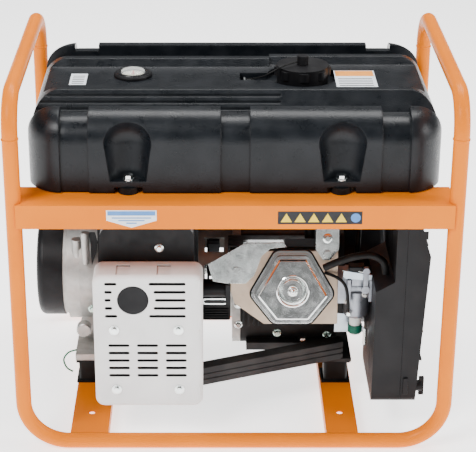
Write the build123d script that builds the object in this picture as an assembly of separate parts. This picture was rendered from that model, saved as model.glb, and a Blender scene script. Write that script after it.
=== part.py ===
"""Open-frame petrol generator: tube frame, fuel tank, single-cylinder engine and alternator.

Millimetres. X runs along the crankshaft, from the alternator (-X) to the recoil starter (+X).
-Y is the side with the muffler and the valve cover, +Y the side with the control panel.
+Z is up, and the origin is on the floor under the middle of the frame.
"""
from build123d import *
import os
from math import cos, pi, radians, sin, tan

# ---- Frame ------------------------------------------------------------------------------
TUBE_R = 12.5               # outer radius of the frame tube
TUBE_WALL = 1.8
FRAME_X = 340               # tube centre lines, half the length
FRAME_Y = 235               # tube centre lines, half the width
FRAME_TOP = 600             # height of the carrying bars' centre lines
LOW_BEND = 72               # bend radius at the floor
TOP_BEND = 58               # bend radius at the carrying bars
JOINT_Z = FRAME_TOP - TOP_BEND - 4   # where a hoop is butt welded to a carrying bar
SHEET = 2.2                 # thickness of the rails' steel sheet
TOUCH = 0.1                 # room left between curved faces that rest on each other

RAIL_TOP = 435.5            # top of the rails that carry the tank
RAIL_HEIGHT = 39
RAIL_DEPTH = 76
RAIL_LIP = 12
RAIL_HALF = 336

BASE_TOP = 24               # top of the two base rails
BASE_RAILS = {"left_base_rail": (-236, 62), "right_base_rail": (178, 52)}   # middle and width
BASE_HOLE_R = 5.25
BASE_HOLE_Y = 165
MOUNT_HOLE_R = 4.2
MOUNT_Y = (-40, 150)        # where the four rubber mounts stand
MOUNT_X = {"left": -245, "right": 178}
MOUNT_TOP = 66
MOUNT_PLATE = 3
MOUNT_HALF = 24

# ---- Fuel tank --------------------------------------------------------------------------
TANK_HALF_X = 323
TANK_Y0 = 7                 # middle of the tank
TANK_HALF_Y = 210
TANK_BOTTOM = 437.5
TANK_TOP = 561
TANK_CORNER = 62            # radius of the upright corners
TANK_SHOULDER = 42          # radius of the top edges
PAD_PROUD = 5               # how far the moulded pads stand out of the walls
PAD_RISE = 10               # and out of the top
FRONT_PADS = ((-330, -270), (-226, -22), (23, 226), (270, 330))
REAR_PADS = ((-330, -272), (-231, 231), (272, 330))
PAD_DEPTH = 53              # from the wall to the inner edge of a pad
GUTTER_Z = TANK_TOP - 20    # the gutters between the pads and the deck
TANK_WALL = 5
DECK_HALF_X = 316           # the raised deck along the middle of the top
DECK_Z = 562
RIDGE_TOP = 574
DECK_BACK = 38              # where the floor of the deck meets the rear ridge
DECK_STEP = 12              # how much further back that is beside the filler
POCKET_Z = 551              # floor of the filler's pocket
GROOVE_R = 2.2              # three grooves along the deck's front face
EAR_X = 165                 # the four bolt pockets
EAR_INSET = 10
POCKET_OUT = 10             # how far outside the wall a pocket's axis stands
POCKET_R = (30, 38)         # its radius at the bolt and at the top
POCKET_HIGH = 518
EAR_BOTTOM = 446
GROMMET_R = 16
NOTCH_R = 22
EAR_TOP = 456

FILLER_X = 112
FILLER_Y = -4
NECK_R = 30
NECK_TOP = 566
CAP_R = 46
CAP_TOP = 581
CAP_SKIRT = 554
GAUGE_X = -164
GAUGE_Y = -4
KNOB_R = 9

# ---- Engine -----------------------------------------------------------------------------
CRANK_Y = 80
CRANK_Z = 185
CRANK_THROW = 31
SHAFT_R = 17.5
RUN = 0.05                  # radial running clearance
CASE_X = (14, 190)
CASE_HALF = 94
CASE_BOTTOM = 72
CYLINDER_X = 96
CYLINDER_TILT = 14          # rise of the cylinder's axis above the horizontal, towards -Y
BORE_R = 44
DECK = 167                  # from the crank axis to the top of the barrel
HEAD_TOP = 214
FIN_PITCH = 8.5
FIN = 2.6
PISTON_LENGTH = 48
PORT_Y = -104               # the ports, on axes along X
PORT_Z = 232                # the intake port
EXHAUST_Z = 226
CARB_X = (186, 227)
BOWL_X = 204                # the float bowl's axis and radius
BOWL_R = 22.5
BOWL_Z = 177
BOX_Y = (-190, -30)         # air cleaner
BOX_X = (227, 274, 312)     # inner face, joint face, outer face at the top
BOX_Z = (57, 265, 392)      # bottom, ledge, top
BOX_LEAN = 13               # how far the cover narrows towards its foot

# ---- Muffler ----------------------------------------------------------------------------
MUFFLER_X = (-216, -64)
MUFFLER_Y = (-160, -62)
MUFFLER_Z = (72, 362)
SHIELD_X = (-225, -50)
SHIELD_Z = (64, 301)
SHIELD_Y = (-216, -162)
OUTLET_X, OUTLET_Z = -161, 258
DIMPLES = (-177, -112)       # two shallow pockets in the shield's top wall
OUTLET_R = 24
SLOT_H = 5.2

# ---- Alternator and starter -------------------------------------------------------------
FAN_CASE_X = (-62, 0)
STATOR_X = (-222, -62)
BRACKET_X = (-293, -222)
COVER_X = (-338, -293)
STATOR_R = 100
ROTOR_R = 61.2
COVER_R = 90
FAN_CASE_R = 94
BLOWER_X = (190, 262)
BLOWER_R = 104
RECOIL_X = (262, 298)
RECOIL_R = 80
PULLEY_R = 60
ROPE_X = 276
ROPE_R = 2
GRIP_Y = (166, 192)

# ---- Control panel ----------------------------------------------------------------------
PANEL_X = (-310, 30)
PANEL_Z = (228, 425)
PANEL_Y = (184, 216)
SOCKET_X = (-150, -62)
SOCKET_Z = 312
SOCKET_R = 25
LID_Y = 224
PIN_Y, PIN_Z = 226, 341.5     # the lids' hinge pins
PIN_R = 1.5
METER_X = -240
BREAKER_X = 0
SWITCH_X = -240
SWITCH_Z = 270


# ---- Helpers ----------------------------------------------------------------------------
def block(x, y, z):
    """A box between two values along each axis."""
    middle = Pos((x[0] + x[1]) / 2, (y[0] + y[1]) / 2, (z[0] + z[1]) / 2)
    return middle * Box(x[1] - x[0], y[1] - y[0], z[1] - z[0])


def rod_x(r, x, y=CRANK_Y, z=CRANK_Z):
    return Pos((x[0] + x[1]) / 2, y, z) * Rot(0, 90, 0) * Cylinder(r, x[1] - x[0])


def rod_y(r, x, y, z):
    return Pos(x, (y[0] + y[1]) / 2, z) * Rot(90, 0, 0) * Cylinder(r, y[1] - y[0])


def rod_z(r, x, y, z):
    return Pos(x, y, (z[0] + z[1]) / 2) * Cylinder(r, z[1] - z[0])


def ring_x(outer, inner, x, y=CRANK_Y, z=CRANK_Z):
    return rod_x(outer, x, y, z) - rod_x(inner, x, y, z)


def bar(points, r, radius):
    """A round bar along straight runs joined by tangent arcs."""
    path = FilletPolyline(*points, radius=radius)
    start = Plane(origin=path @ 0, z_dir=path % 0)
    return sweep(start * Circle(r), path=path)


def tube(points, radius):
    """A frame tube, hollow, along a bent centre line."""
    return bar(points, TUBE_R, radius) - bar(points, TUBE_R - TUBE_WALL, radius)


def arc_radii(points):
    """The largest arc that fits at each corner of a route: 0.45 of its shorter run."""
    radii = []
    for before, here, after in zip(points, points[1:], points[2:]):
        run_in = Vector(*here) - Vector(*before)
        run_out = Vector(*after) - Vector(*here)
        half_turn = radians(run_in.get_angle(run_out)) / 2
        radii.append(0.45 * min(run_in.length, run_out.length) / tan(half_turn))
    return radii


def hose(name, points, r):
    """A cord or hose: its route's corners are rounded as far as its runs allow."""
    radii = arc_radii(points)
    path = FilletPolyline(*points, radius=radii)
    start = Plane(origin=path @ 0, z_dir=path % 0)
    solid = sweep(start * Circle(r), path=path)
    share = solid.volume / (pi * r * r * path.length)
    print(name, "length", round(path.length), "radii", [round(v, 1) for v in radii])
    print(name, "volume share", round(share, 3))
    return solid


def soft(shape, radius, *axes):
    """Rounds the edges that run along the given axes."""
    for axis in axes:
        shape = fillet(shape.edges().filter_by(axis), radius)
    return shape


def hex_bolt(r, length, head_r=None, head_h=None):
    """A bolt with its head on +Z and its shank going down from the origin."""
    head_r = head_r or 1.75 * r
    head_h = head_h or 1.3 * r
    head = extrude(RegularPolygon(head_r, 6), head_h)
    return head + Pos(0, 0, -length / 2) * Cylinder(r, length)


def on_cylinder():
    """The plane on the crank axis whose Z runs out along the cylinder, with Y upwards."""
    t = radians(CYLINDER_TILT)
    return Plane(origin=(CYLINDER_X, CRANK_Y, CRANK_Z), x_dir=(1, 0, 0), z_dir=(0, -cos(t), sin(t)))


def slot_y(x0, x1, z, y):
    """A round-ended slot through a wall that faces Y."""
    r = SLOT_H / 2
    return block((x0 + r, x1 - r), y, (z - r, z + r)) + rod_y(r, x0 + r, y, z) + rod_y(r, x1 - r, y, z)


# ---- Frame ------------------------------------------------------------------------------
def hoop(side):
    """The U of tube on one long side: a floor rail and its two uprights."""
    y = side * FRAME_Y
    points = [(-FRAME_X, y, JOINT_Z), (-FRAME_X, y, TUBE_R), (FRAME_X, y, TUBE_R), (FRAME_X, y, JOINT_Z)]
    return tube(points, LOW_BEND)


def top_bar(side):
    """The carrying bar at one end, bent down to both hoops."""
    x = side * FRAME_X
    y = FRAME_Y
    return tube([(x, -y, JOINT_Z), (x, -y, FRAME_TOP), (x, y, FRAME_TOP), (x, y, JOINT_Z)], TOP_BEND)


def upright_cut():
    """The room that the four uprights take."""
    cut = None
    for x in (-FRAME_X, FRAME_X):
        for y in (-FRAME_Y, FRAME_Y):
            post = rod_z(TUBE_R + TOUCH, x, y, (300, 500))
            cut = post if cut is None else cut + post
    return cut


def tank_rail(side):
    """A folded channel across the uprights, which the tank stands on."""
    face = side * (FRAME_Y + TUBE_R + TOUCH)
    web = sorted((face, face + side * SHEET))
    outer = face + side * SHEET
    inner = outer - side * RAIL_DEPTH
    rail = block((-RAIL_HALF, RAIL_HALF), web, (RAIL_TOP - RAIL_HEIGHT, RAIL_TOP))
    rail += block((-RAIL_HALF, RAIL_HALF), sorted((outer, inner)), (RAIL_TOP - SHEET, RAIL_TOP))
    lip = sorted((inner, inner + side * SHEET))
    rail += block((-RAIL_HALF + 22, RAIL_HALF - 22), lip, (RAIL_TOP - RAIL_LIP, RAIL_TOP))
    for x in (-EAR_X, EAR_X):
        rail -= rod_z(MOUNT_HOLE_R, x, ear_y(side), (RAIL_TOP - 10, RAIL_TOP + 10))
    return rail - upright_cut()


def base_rail(middle, width):
    """A folded channel between the two floor tubes."""
    x = (middle - width / 2, middle + width / 2)
    rail = block(x, (-230, 230), (2, BASE_TOP))
    rail -= block((x[0] + SHEET, x[1] - SHEET), (-230, 230), (2, BASE_TOP - SHEET))
    for side in (-1, 1):
        rail -= rod_x(TUBE_R + TOUCH, (x[0] - 5, x[1] + 5), side * FRAME_Y, TUBE_R)
        rail -= rod_z(BASE_HOLE_R, middle, side * BASE_HOLE_Y, (0, BASE_TOP + 5))
    nearest = MOUNT_X["left"] if middle < 0 else MOUNT_X["right"]
    for y in MOUNT_Y:
        rail -= rod_z(MOUNT_HOLE_R, nearest, y, (0, BASE_TOP + 5))
    return rail


def rubber_mount(x, y):
    """A rubber block bonded between two steel plates, with a stud through the base rail."""
    h = MOUNT_HALF
    lower = block((x - h, x + h), (y - h, y + h), (BASE_TOP, BASE_TOP + MOUNT_PLATE))
    lower += rod_z(4, x, y, (BASE_TOP - 12, BASE_TOP))
    upper = block((x - h, x + h), (y - h, y + h), (MOUNT_TOP - MOUNT_PLATE, MOUNT_TOP))
    inner = h - 4
    between = (BASE_TOP + MOUNT_PLATE, MOUNT_TOP - MOUNT_PLATE)
    rubber = block((x - inner, x + inner), (y - inner, y + inner), between)
    return [lower, soft(rubber, 5, Axis.Z), upper]


# ---- Fuel tank --------------------------------------------------------------------------
def ear_y(side):
    """The line of the tank bolts on one side."""
    return TANK_Y0 + side * (TANK_HALF_Y - EAR_INSET)


def tank_form(inset, drop):
    """The tank's rounded outer form, drawn in by inset at the walls and by drop at the top."""
    x, y = TANK_HALF_X - inset, TANK_HALF_Y - inset
    form = block((-x, x), (TANK_Y0 - y, TANK_Y0 + y), (TANK_BOTTOM, TANK_TOP - drop))
    form = fillet(form.edges().filter_by(Axis.Z), TANK_CORNER - inset)
    return fillet(form.faces().sort_by(Axis.Z)[-1].edges(), TANK_SHOULDER - inset)


def deck(x0, x1, step):
    """A stretch of the raised deck, with a ridge on both sides of its floor."""
    front = TANK_Y0 - TANK_HALF_Y + PAD_DEPTH + 7
    back = DECK_BACK + step
    floor = GUTTER_Z - 3
    outline = Plane.YZ * make_face(Polyline(
        (front, floor), (front, GUTTER_Z), (front + 34, RIDGE_TOP),
        (front + 43, RIDGE_TOP), (front + 54, DECK_Z),
        (back, DECK_Z), (back + 12, RIDGE_TOP), (back + 24, RIDGE_TOP), (back + 38, GUTTER_Z),
        (back + 38, floor), close=True))
    return Pos(x0, 0, 0) * extrude(outline, x1 - x0, dir=(1, 0, 0))


def deck_grooves():
    """Three grooves along the deck's sloping front face."""
    front = TANK_Y0 - TANK_HALF_Y + PAD_DEPTH + 7
    for share in (0.28, 0.53, 0.78):
        y = front + 34 * share
        z = GUTTER_Z + (RIDGE_TOP - GUTTER_Z) * share
        yield rod_x(GROOVE_R, (-DECK_HALF_X, FILLER_X - 40), y, z)


def bolt_pocket(x, side):
    """A drop-shaped pocket, wide and round at its top, that narrows down to the bolt."""
    y = TANK_Y0 + side * (TANK_HALF_Y + POCKET_OUT)
    low, high = POCKET_R
    cone = Pos(x, y, (EAR_TOP + POCKET_HIGH) / 2) * Cone(low, high, POCKET_HIGH - EAR_TOP)
    return cone + Pos(x, y, POCKET_HIGH) * Sphere(high)


def fuel_tank():
    edges = {side: TANK_Y0 + side * (TANK_HALF_Y - PAD_DEPTH) for side in (-1, 1)}
    tank = tank_form(PAD_PROUD, TANK_TOP - GUTTER_Z)
    for side, spans in ((-1, FRONT_PADS), (1, REAR_PADS)):
        beyond = sorted((edges[side], edges[side] + side * 100))
        strip = block((-330, 330), beyond, (TANK_BOTTOM, TANK_TOP + 5))
        tank += tank_form(PAD_PROUD, PAD_RISE) & strip
        for span in spans:
            tank += tank_form(0, 0) & block(span, beyond, (TANK_BOTTOM, TANK_TOP + 5))
    raised = deck(-DECK_HALF_X, 60, 0) + deck(60, DECK_HALF_X, DECK_STEP)
    ends = block((-DECK_HALF_X, DECK_HALF_X), (-250, 250), (GUTTER_Z - 60, RIDGE_TOP + 1))
    ends = fillet(ends.edges().filter_by(Axis.Y).group_by(Axis.Z)[-1], 46)
    for groove in deck_grooves():
        raised -= groove
    tank += raised & ends
    pocket = rod_z(CAP_R + 12, FILLER_X, FILLER_Y, (POCKET_Z, RIDGE_TOP + 5))
    pocket += block((FILLER_X - 102, FILLER_X), (-28, 10), (POCKET_Z, RIDGE_TOP + 5))
    tank -= pocket
    tank += rod_z(NECK_R + 7, FILLER_X, FILLER_Y, (POCKET_Z - 4, NECK_TOP))
    top = GUTTER_Z - 7
    low = TANK_BOTTOM + TANK_WALL
    room = block((-312, 312), (TANK_Y0 - 160, TANK_Y0 + 160), (low, top))
    room = soft(room, 40, Axis.Z)
    for side in (-1, 1):
        wall = TANK_Y0 + side * (TANK_HALF_Y - PAD_PROUD - TANK_WALL)
        for x in ((-118, 118), (-255, -210), (210, 255)):
            room += block(x, sorted((TANK_Y0, wall)), (low, top - TANK_SHOULDER))
        for x in (-EAR_X, EAR_X):
            y = ear_y(side)
            tank -= bolt_pocket(x, side)
            under = (TANK_BOTTOM - 5, EAR_BOTTOM)
            tank -= rod_z(NOTCH_R, x, y, under)
            tank -= block((x - NOTCH_R, x + NOTCH_R), sorted((y, y + side * 40)), under)
            tank -= rod_z(MOUNT_HOLE_R, x, y, (TANK_BOTTOM, EAR_TOP + 5))
    tank -= room
    return tank - rod_z(NECK_R, FILLER_X, FILLER_Y, (low + 20, NECK_TOP + 5))


def tank_bolts():
    made = []
    for side in (-1, 1):
        for x in (-EAR_X, EAR_X):
            washer = Cylinder(9, 2) - Cylinder(4.05, 2)
            made.append(Pos(x, ear_y(side), EAR_TOP + 1) * washer)
            made.append(Pos(x, ear_y(side), EAR_TOP + 2) * hex_bolt(4, 28, 7.5, 6))
    return made


def tank_grommets():
    made = []
    for side in (-1, 1):
        for x in (-EAR_X, EAR_X):
            z = (RAIL_TOP, EAR_BOTTOM)
            made.append(rod_z(GROMMET_R, x, ear_y(side), z) - rod_z(4.1, x, ear_y(side), z))
    return made


def fuel_cap():
    """The filler cap, with eight grip lobes around its skirt."""
    cap = rod_z(CAP_R - 4, FILLER_X, FILLER_Y, (CAP_SKIRT, CAP_TOP))
    for i in range(8):
        a = i * pi / 4
        x, y = FILLER_X + (CAP_R - 10) * cos(a), FILLER_Y + (CAP_R - 10) * sin(a)
        cap += rod_z(10, x, y, (CAP_SKIRT + 10, CAP_TOP - 3))
    cap -= rod_z(NECK_R + 7.6, FILLER_X, FILLER_Y, (CAP_SKIRT, NECK_TOP + 1))
    return cap - rod_z(4.3, FILLER_X, FILLER_Y, (NECK_TOP, CAP_TOP + 1))


def cap_knob():
    """The button on the cap, which turns freely on it and carries the tether's eye."""
    stem = rod_z(4, FILLER_X, FILLER_Y, (NECK_TOP + 2, CAP_TOP + 1))
    return stem + rod_z(KNOB_R, FILLER_X, FILLER_Y, (CAP_TOP + 0.4, CAP_TOP + 15))


TETHER = [(FILLER_X - KNOB_R - 1, -8, 586), (88, -22, 588), (66, -34, 581), (44, -30, 566), (20.6, -8, 557)]


def cap_tether():
    return hose("cap_tether", TETHER, 1.3)


def fuel_gauge():
    """The gauge's round cup in the channel, with the needle's pivot."""
    cup = rod_z(31, GAUGE_X, GAUGE_Y, (DECK_Z, DECK_Z + 6))
    cup = chamfer(cup.edges().group_by(Axis.Z)[-1], 2.5)
    cup -= rod_z(20, GAUGE_X, GAUGE_Y, (DECK_Z + 2, DECK_Z + 7))
    return cup + rod_z(1, GAUGE_X, GAUGE_Y, (DECK_Z + 1, DECK_Z + 4.5))


def gauge_window():
    """Clear domed window over the dial."""
    dome = rod_z(19.9, GAUGE_X, GAUGE_Y, (DECK_Z + 5, DECK_Z + 10))
    dome = fillet(dome.edges().group_by(Axis.Z)[-1], 3)
    return dome - rod_z(18.4, GAUGE_X, GAUGE_Y, (DECK_Z + 4, DECK_Z + 8.5))


def gauge_needle():
    hub = rod_z(2.5, GAUGE_X, GAUGE_Y, (DECK_Z + 3, DECK_Z + 4))
    needle = hub + block((GAUGE_X - 1, GAUGE_X + 1), (GAUGE_Y, GAUGE_Y + 15), (DECK_Z + 3, DECK_Z + 4))
    return needle - rod_z(1.05, GAUGE_X, GAUGE_Y, (DECK_Z + 2, DECK_Z + 5))


def tether_tab():
    """The small bracket screwed to the tank, which holds the tether."""
    plate = block((16, 34), (-14, 0), (POCKET_Z, POCKET_Z + 2))
    return plate + block((16, 19), (-18, 0), (POCKET_Z, POCKET_Z + 7))


TAP_X, TAP_Y = 205, 150


def fuel_tap():
    """Tap under the tank, with its strainer cup and the spigot for the hose."""
    body = rod_z(11, TAP_X, TAP_Y, (400, TANK_BOTTOM))
    body += rod_z(15, TAP_X, TAP_Y, (376, 400))
    return body + rod_y(4, TAP_X, (TAP_Y - 30, TAP_Y), 408)


def tap_lever():
    """Lever that turns a quarter turn about Y."""
    hub = rod_y(7, TAP_X, (TAP_Y + 15.5, TAP_Y + 21), 420)
    return hub + block((TAP_X - 30, TAP_X), (TAP_Y + 16, TAP_Y + 20), (416, 424))


FUEL_HOSE = [(TAP_X, TAP_Y - 30, 408), (TAP_X, 76, 408), (TAP_X + 4, 28, 388), (TAP_X + 8, -14, 350),
             (TAP_X + 6, -40, 300), (TAP_X + 2, -54, 252), (TAP_X - 2, -80, 225)]


def fuel_hose():
    return hose("fuel_hose", FUEL_HOSE, 4.5)


# ---- Engine -----------------------------------------------------------------------------
def engine_block():
    """Crankcase and finned barrel in one casting."""
    case = block(CASE_X, (CRANK_Y - CASE_HALF, CRANK_Y + CASE_HALF), (CASE_BOTTOM, CRANK_Z + CASE_HALF))
    case = soft(case, 16, Axis.X)
    plane = on_cylinder()
    barrel = plane * (Pos(0, 0, (60 + DECK) / 2) * Cylinder(53, DECK - 60))
    made = case + barrel
    count = int((DECK - 100) / FIN_PITCH)
    for i in range(count + 1):
        fin = soft(Box(150, 122, FIN), 14, Axis.Z)
        made += plane * (Pos(0, 0, 98 + i * FIN_PITCH) * fin)
    made += plane * (Pos(0, 0, DECK - 3) * soft(Box(140, 112, 6), 14, Axis.Z))
    made -= rod_x(62, (CASE_X[0] - 1, CASE_X[1] - 18))
    made -= plane * (Pos(0, 0, DECK / 2 + 5) * Cylinder(BORE_R + RUN, DECK + 10))
    foot_y = (CRANK_Y - CASE_HALF - 20, CRANK_Y + CASE_HALF + 20)
    foot = block((CASE_X[0] + 10, CASE_X[1]), foot_y, (CASE_BOTTOM, CASE_BOTTOM + 14))
    made += foot - rod_x(62, CASE_X)
    return made - rod_x(SHAFT_R + RUN, (CASE_X[0] - 1, CASE_X[1] + 1))


def crankcase_cover():
    """The side of the crankcase that carries the alternator."""
    plate = block((FAN_CASE_X[1], CASE_X[0]), (CRANK_Y - CASE_HALF, CRANK_Y + CASE_HALF),
                  (CASE_BOTTOM, CRANK_Z + CASE_HALF))
    plate = soft(plate, 16, Axis.X)
    return plate - rod_x(SHAFT_R + RUN, (-5, 20))


def base_plate():
    """The steel plate that joins the engine's feet to its two rubber mounts."""
    return block((110, 204), (-66, 196), (MOUNT_TOP, CASE_BOTTOM))


def crankshaft():
    """Shaft, crank webs and pin, with the hub that drives the starter cup."""
    shaft = rod_x(SHAFT_R, (-60, CYLINDER_X - 30)) + rod_x(SHAFT_R, (CYLINDER_X + 30, 196))
    shaft += rod_x(12, (196, 250))
    for x in (CYLINDER_X - 34, CYLINDER_X + 18):
        shaft += rod_x(49, (x, x + 16))
    return shaft + rod_x(16, (CYLINDER_X - 20, CYLINDER_X + 20), CRANK_Y, CRANK_Z + CRANK_THROW)


def piston():
    crown = Pos(0, 0, DECK - 3 - PISTON_LENGTH / 2) * Cylinder(BORE_R, PISTON_LENGTH)
    crown -= Pos(0, 0, DECK - 3 - PISTON_LENGTH / 2 - 7) * Cylinder(BORE_R - 6, PISTON_LENGTH - 7)
    return on_cylinder() * crown


def cylinder_head():
    """Head casting: a chamfered block with fins on its upper side and two ports."""
    outline = Polyline((-101, 62), (-101, -4), (-94, -26), (-46, -60), (75, -60), (75, 62), close=True)
    form = extrude(make_face(outline), HEAD_TOP - DECK)
    head = Pos(0, 0, DECK) * form
    for i in range(4):
        head -= Pos(-13, 58, DECK + 8 + i * 11) * Box(190, 24, 5)
    head = on_cylinder() * head
    head -= rod_x(13, (-10, 30), PORT_Y, EXHAUST_Z)
    return head - rod_x(13, (135, 175), PORT_Y, PORT_Z)


def cover_outline(grow):
    """The valve cover's six-sided outline, grown outwards by grow."""
    half = [(28, 63), (70, -10), (31, -59)]
    points = half + [(-x, v) for x, v in reversed(half)]
    face = fillet(make_face(Polyline(*points, close=True)).vertices(), 15)
    return offset(face, grow) if grow else face


def valve_cover():
    flange = extrude(cover_outline(0), 3)
    wall = Pos(0, 0, 3) * extrude(cover_outline(-4), 19, taper=4)
    panel = Pos(0, 0, 22) * extrude(cover_outline(-11), 4, taper=30)
    cover = flange + wall + panel
    cover -= Pos(0, 0, 24) * Cone(17, 24, 8)
    cover -= extrude(cover_outline(-8), 17, taper=4)
    return on_cylinder() * (Pos(0, 0, HEAD_TOP) * cover)


HEAD_SHIELD = [(-138, 40), (-80, 74), (-14, 76), (-9, 69), (-36, 66),
               (-50, 54), (-62, 22), (-76, 8), (-106, 8), (-130, 12)]


def head_shield():
    """Galvanised sheet beside the valve cover, with a folded top edge."""
    sheet = extrude(make_face(Polyline(*HEAD_SHIELD, close=True)), 1.6)
    fold = Pos(-47, 76, -10) * Box(66, 1.6, 22)
    return on_cylinder() * (Pos(0, 0, HEAD_TOP + 0.1) * (sheet + fold))


def lifting_tab():
    """Galvanised tongue bolted above the carburettor side of the head."""
    outline = Polyline((38, 118), (38, 66), (50, 48), (62, 48), (76, 66), (76, 118), close=True)
    tab = extrude(make_face(outline), 2)
    return on_cylinder() * (Pos(0, 0, HEAD_TOP + 3.2) * tab)


def cylinder_shroud():
    """Black sheet over the barrel and the head that guides the cooling air."""
    top = Pos(-15, 70, (118 + HEAD_TOP) / 2) * Box(178, 2, HEAD_TOP - 118)
    near = Pos(22, 76, HEAD_TOP - 1) * Box(68, 14, 2)
    sides = Pos(-103, 60, (118 + HEAD_TOP) / 2) * Box(2, 22, HEAD_TOP - 118)
    return on_cylinder() * (top + near + sides)


def engine_bolts():
    """Acorn nut on the valve cover, the tab's bolt, shield bolt and base bolts."""
    plane = on_cylinder()
    nut = fillet(Cylinder(9, 9).edges().group_by(Axis.Z)[-1], 4)
    made = [plane * (Pos(0, 0, HEAD_TOP + 24.5) * nut)]
    made.append(plane * (Pos(57, 57, HEAD_TOP + 5.2) * extrude(RegularPolygon(7, 6), 5)))
    made.append(plane * (Pos(-92, 30, HEAD_TOP + 1.7) * extrude(RegularPolygon(6, 6), 4)))
    for x in (122, 176):
        for y in (-24, 184):
            made.append(Pos(x, y, CASE_BOTTOM + 14) * extrude(RegularPolygon(8, 6), 6))
    return made


# On the cylinder's plane.
PLUG_LEAD = [(30, 100.1, 190), (31, 116, 182), (42, 112, 158), (62, 90, 140), (84, 76, 128)]


def plug_lead():
    """Spark plug boot and its lead back to the coil."""
    boot = Pos(30, 86, 190) * Rot(90, 0, 0) * Cylinder(9, 28)
    return [on_cylinder() * boot, on_cylinder() * hose("plug_lead", PLUG_LEAD, 3.5)]


# ---- Carburettor and air cleaner --------------------------------------------------------
def carburetor():
    body = rod_x(19, CARB_X, PORT_Y, PORT_Z)
    body += block((CARB_X[0], CARB_X[0] + 6), (PORT_Y - 30, PORT_Y + 30), (PORT_Z - 20, PORT_Z + 22))
    body += block((CARB_X[1] - 5, CARB_X[1] - 0.2), (PORT_Y - 28, PORT_Y + 28), (PORT_Z - 18, PORT_Z + 20))
    body += rod_z(BOWL_R, BOWL_X, PORT_Y, (PORT_Z - 18, PORT_Z - 6))
    body += block((194, 220), (PORT_Y - 22, PORT_Y - 4), (PORT_Z + 8, PORT_Z + 24))
    body += block((171, CARB_X[0]), (PORT_Y - 26, PORT_Y + 26), (PORT_Z - 22, PORT_Z + 22))
    body += rod_y(2.5, 216, (PORT_Y - 28.6, PORT_Y - 10), PORT_Z + 6)
    body -= rod_x(13, (170, 228), PORT_Y, PORT_Z)
    bowl = rod_z(BOWL_R - 1, BOWL_X, PORT_Y, (BOWL_Z, PORT_Z - 17))
    bowl = fillet(bowl.edges().group_by(Axis.Z)[0], 7)
    return body + bowl


def fuel_cut_solenoid():
    """Shut-off solenoid under the float bowl: can and boot."""
    can = rod_z(10, BOWL_X, PORT_Y, (159, BOWL_Z))
    boot = rod_z(11.5, BOWL_X, PORT_Y, (142, 159))
    return [can, fillet(boot.edges().group_by(Axis.Z)[0], 5)]


def choke_lever():
    """Lever on the carburettor's choke spindle, on an axis along Y."""
    hub = rod_y(7, 216, (PORT_Y - 34, PORT_Y - 29), PORT_Z + 6)
    arm = block((212, 220), (PORT_Y - 33, PORT_Y - 30), (PORT_Z + 6, PORT_Z + 40))
    return hub + arm + rod_y(6, 216, (PORT_Y - 36, PORT_Y - 28), PORT_Z + 40)


def box_half(x, inset):
    """The air cleaner's stepped block between two values of X."""
    y = (BOX_Y[0] + inset, BOX_Y[1] - inset)
    form = block(x, y, (BOX_Z[0] + inset, BOX_Z[2] - inset))
    return fillet(form.edges().filter_by(Axis.X), 12 - inset)


def air_cleaner_base():
    inner, seam, _ = BOX_X
    form = box_half((inner, seam), 0)
    ledge = Polyline((inner - 1, BOX_Z[1] - 6), (inner + 30, BOX_Z[1] + 12),
                     (inner + 30, 400), (inner - 1, 400), close=True)
    cut = extrude(Plane.XZ * make_face(ledge), 400, both=True)
    form -= cut
    form -= block((inner + 3, seam + 1), (BOX_Y[0] + 4, BOX_Y[1] - 4), (BOX_Z[0] + 4, BOX_Z[1] - 14))
    return form - rod_x(16, (inner - 1, inner + 5), PORT_Y, PORT_Z)


def air_filter():
    x = (BOX_X[0] + 12, BOX_X[2] - BOX_LEAN - 8)
    return block(x, (BOX_Y[0] + 6, BOX_Y[1] - 6), (BOX_Z[0] + 8, BOX_Z[1] - 18))


def air_cleaner_cover():
    _, seam, outer = BOX_X
    form = box_half((seam + 0.3, outer), 0)
    lean = BOX_LEAN
    slope = Polyline((outer - lean, BOX_Z[0] - 1), (outer, 322), (outer - 24, BOX_Z[2] + 1),
                     (outer + 20, BOX_Z[2] + 1), (outer + 20, BOX_Z[0] - 1), close=True)
    form -= extrude(Plane.XZ * make_face(slope), 400, both=True)
    form -= block((seam, outer - lean - 4), (BOX_Y[0] + 4, BOX_Y[1] - 4), (BOX_Z[0] + 4, BOX_Z[1] - 14))
    form += rod_x(9, (outer - lean - 2, outer - 1), -176, 82)
    return form + block((outer - 6, outer + 2), (-179, -173), (66, 98))


BREATHER = [(148, -134, 277), (170, -142, 292), (196, -148, 304),
            (222, -150, 308), (243, -150, 296), (246, -150, 274)]


def breather_hose():
    return hose("breather_hose", BREATHER, 6)


# ---- Muffler ----------------------------------------------------------------------------
def muffler_body():
    """Closed steel box of the muffler, with the seam flange of its two halves."""
    shell = soft(block(MUFFLER_X, MUFFLER_Y, MUFFLER_Z), 22, Axis.Y)
    seam = (MUFFLER_Y[0] + 46, MUFFLER_Y[0] + 50)
    grown = [(v[0] - 6, v[1] + 6) for v in (MUFFLER_X, MUFFLER_Z)]
    shell += soft(block(grown[0], seam, grown[1]), 26, Axis.Y)
    shrunk = [(v[0] + 2.5, v[1] - 2.5) for v in (MUFFLER_X, MUFFLER_Y, MUFFLER_Z)]
    return shell - soft(block(*shrunk), 19, Axis.Y)


def exhaust_pipe():
    pipe = ring_x(15, 13, (MUFFLER_X[1], -5), PORT_Y, EXHAUST_Z)
    flange = block((-13, -5.2), (PORT_Y - 28, PORT_Y + 28), (EXHAUST_Z - 18, EXHAUST_Z + 18))
    return pipe + (flange - rod_x(15, (-20, 0), PORT_Y, EXHAUST_Z))


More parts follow.
